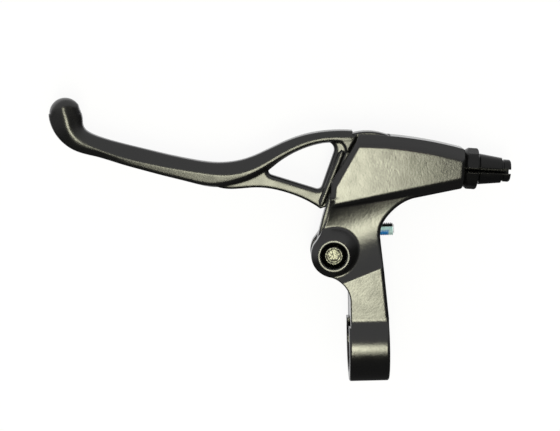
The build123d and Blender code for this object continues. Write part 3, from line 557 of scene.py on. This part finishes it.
class LEVER_OT_finish_fasteners(bpy.types.Operator):
    """Finishes the bolts, the nut, the washer, the bushes and the cable anchor"""
    bl_idname = "lever.finish_fasteners"
    bl_label = "Finish fasteners"

    def execute(self, context):
        finish = context.scene.lever_finishes
        # Black oxide steel: dark but metallic, so that the rim and the dents flash.
        oxide = metal("black_oxide_steel", finish.steel, gloss=(0.16, 0.26), lay_mm=0.9, edge_mm=0.3,
                      dent_mm=0.22)
        wear(oxide, "pivot_bolt")
        # Zinc plate: pale and silky.
        zinc = metal("zinc_plated_steel", finish.zinc, gloss=(0.25, 0.4), lay_mm=0.8, edge_mm=0.2)
        wear(zinc, "pivot_nut", "clamp_bolt", "clamp_washer")
        # Brass: warm and turned.
        brass = metal("turned_brass", finish.brass, gloss=(0.2, 0.32), lay_mm=0.5, edge_mm=0.2)
        wear(brass, "cable_anchor")
        # Nylon and acetal: plain matt mouldings.
        for name, colour, gloss, nodes in (
                ("nylon", finish.nylon, (0.45, 0.55), ("pivot_nut_insert",)),
                ("black_acetal", finish.bush, (0.4, 0.5), ("upper_pivot_bush", "lower_pivot_bush"))):
            wear(coated(name, colour, gloss, grain_mm=0.5, grain_depth_mm=0.02,
                        wave_mm=2.0, wave_depth_mm=0.02, edge_mm=0.1), *nodes)
        return {"FINISHED"}


class LEVER_OT_set_studio(bpy.types.Operator):
    """Sets the floor, the lamps, the world and the camera"""
    bl_idname = "lever.set_studio"
    bl_label = "Set studio"

    def execute(self, context):
        scene, studio = context.scene, context.scene.lever_studio
        scene.view_settings.view_transform = "Standard"
        target = Vector(studio.camera_target)
        self.lay_floor(context, studio, target)
        self.hang_lamps(scene, studio, target)
        self.set_world(scene, studio)
        self.set_camera(scene, studio, target)
        return {"FINISHED"}

    def lay_floor(self, context, studio, target):
        """Floor under the lowest point: white to the eye, and it keeps the shadow."""
        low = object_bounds()[0][2]
        bpy.ops.object.select_all(action="DESELECT")
        bpy.ops.mesh.primitive_plane_add(
            size=studio.floor_size, location=(target.x, target.y, low - FLOOR_GAP))
        floor = context.object
        floor.name = "floor"
        material, tree, output = new_material("white_paper")
        path = add_node(tree, "LightPath")
        diffuse = add_node(tree, "BsdfDiffuse", {"Color": (studio.floor_shadow,) * 3 + (1,)})
        seen = add_node(tree, "Math", {
            0: path.outputs["Is Camera Ray"], 1: path.outputs["Is Transmission Ray"]}, operation="MAXIMUM")
        glow = add_node(tree, "Math", {0: seen.outputs[0], 1: 1 - FLOOR_LIGHT * studio.floor_shadow},
                        operation="MULTIPLY")
        shine = add_node(tree, "Emission", {"Color": (1, 1, 1, 1), "Strength": glow.outputs[0]})
        both = add_node(tree, "AddShader")
        tree.links.new(diffuse.outputs[0], both.inputs[0])
        tree.links.new(shine.outputs[0], both.inputs[1])
        tree.links.new(both.outputs[0], output.inputs["Surface"])
        floor.data.materials.append(material)
        floor.visible_glossy = False
        floor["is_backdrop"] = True

    def hang_lamps(self, scene, studio, target):
        """Key softbox, nearly overhead on the rider's side, its brighter core, and a card for the blade."""
        for name, lean, size, power in (
                ("key_softbox", studio.key_lean, studio.key_size, studio.key_power),
                ("key_core", studio.core_lean, studio.core_size, studio.core_power),
                ("blade_card", studio.card_lean, studio.card_size, studio.card_power)):
            toward = Vector((math.tan(lean[0]), math.tan(lean[1]), 1)).normalized()
            lamp = bpy.data.lights.new(name, "AREA")
            lamp.shape = "RECTANGLE"
            lamp.size, lamp.size_y = size
            lamp.energy = power
            lamp.color = linear(studio.lamp_colour)[:3]
            stand = bpy.data.objects.new(name, lamp)
            scene.collection.objects.link(stand)
            stand.location = target + toward * studio.lamp_distance
            stand.rotation_euler = toward.to_track_quat("Z", "Y").to_euler()

    def set_world(self, scene, studio):
        """World: white where it is seen, even as fill, and a dim room with white paper for mirror rays."""
        world = bpy.data.worlds.new("white_studio")
        scene.world = world
        world.use_nodes = True
        tree = world.node_tree
        tree.nodes.clear()
        path = add_node(tree, "LightPath")
        way = add_node(tree, "SeparateXYZ", {0: add_node(tree, "TexCoord").outputs["Generated"]})
        front = add_node(tree, "Math", {0: way.outputs["X"], 1: ROOM_X_WEIGHT, 2: way.outputs["Y"]},
                         operation="MULTIPLY_ADD")
        room = add_node(tree, "MapRange", {
            "Value": front.outputs[0], "From Min": ROOM_FADE[0], "From Max": ROOM_FADE[1],
            "To Min": ROOM_LEVELS[0], "To Max": ROOM_LEVELS[1]}, interpolation_type="SMOOTHSTEP")
        down = add_node(tree, "Math", {0: way.outputs["X"], 1: PAPER_X_WEIGHT, 2: way.outputs["Z"]},
                        operation="MULTIPLY_ADD")
        down = add_node(tree, "Math", {0: way.outputs["Y"], 1: PAPER_Y_WEIGHT, 2: down.outputs[0]},
                        operation="MULTIPLY_ADD")
        paper = add_node(tree, "MapRange", {
            "Value": down.outputs[0], "From Min": PAPER_FADE[0], "From Max": PAPER_FADE[1]})
        room = add_node(tree, "Math", {0: room.outputs["Result"], 1: paper.outputs["Result"]},
                        operation="MAXIMUM")
        seen = add_node(tree, "Math", {
            0: path.outputs["Is Camera Ray"], 1: path.outputs["Is Transmission Ray"]}, operation="MAXIMUM")
        level = add_node(tree, "MapRange", {"Value": seen.outputs[0], "To Min": studio.fill, "To Max": 1.0})
        level = add_node(tree, "Mix", {
            "Factor": path.outputs["Is Glossy Ray"], "A": level.outputs["Result"], "B": room.outputs[0]})
        background = add_node(tree, "Background", {
            "Color": (1, 1, 1, 1), "Strength": level.outputs["Result"]})
        output = add_node(tree, "OutputWorld")
        tree.links.new(background.outputs[0], output.inputs["Surface"])

    def set_camera(self, scene, studio, target):
        """Camera: above, leaning forward, slightly rolled."""
        elevation, roll = studio.camera_elevation, studio.camera_roll
        up = Vector((0, math.sin(elevation), math.cos(elevation)))
        back = Vector((0, -math.cos(elevation), math.sin(elevation)))
        side = Vector((1, 0, 0))
        right = math.cos(roll) * side - math.sin(roll) * up
        above = math.sin(roll) * side + math.cos(roll) * up
        eye = target + back * studio.camera_distance
        lens = bpy.data.cameras.new("camera")
        lens.lens = studio.camera_lens
        lens.sensor_width = SENSOR_MM
        lens.clip_start = 0.01
        camera = bpy.data.objects.new("camera", lens)
        camera.matrix_world = Matrix((
            (right.x, above.x, back.x, eye.x), (right.y, above.y, back.y, eye.y),
            (right.z, above.z, back.z, eye.z), (0, 0, 0, 1)))
        scene.collection.objects.link(camera)
        scene.camera = camera


STEPS = (LEVER_OT_coat_castings, LEVER_OT_finish_adjuster, LEVER_OT_finish_fasteners, LEVER_OT_model_leg_rib,
         LEVER_OT_model_bolt_rim, LEVER_OT_model_reach_screw, LEVER_OT_set_studio)


class LEVER_PT_panel(bpy.types.Panel):
    """Steps that dress the brake lever"""
    bl_idname = "LEVER_PT_panel"
    bl_label = "Brake lever"
    bl_space_type = "VIEW_3D"
    bl_region_type = "UI"
    bl_category = "Brake lever"

    def draw(self, context):
        for step in STEPS:
            self.layout.operator(step.bl_idname)


SETTINGS = {
    "lever_leg_rib": LegRibSizes,
    "lever_bolt_rim": BoltRimSizes,
    "lever_reach_screw": ReachScrewSizes,
    "lever_finishes": LeverFinishes,
    "lever_studio": StudioSettings,
}
CLASSES = (*SETTINGS.values(), *STEPS, LEVER_PT_panel)


def register():
    """Registers the classes and the settings."""
    for cls in CLASSES:
        bpy.utils.register_class(cls)
    for name, group in SETTINGS.items():
        setattr(bpy.types.Scene, name, bpy.props.PointerProperty(type=group))


def unregister():
    """Removes what register added."""
    for name in reversed(SETTINGS):
        delattr(bpy.types.Scene, name)
    for cls in reversed(CLASSES):
        bpy.utils.unregister_class(cls)


def main():
    """Runs every step in order."""
    register()
    for step in STEPS:
        space, name = step.bl_idname.split(".")
        getattr(getattr(bpy.ops, space), name)()


if __name__ == "__main__":
    main()
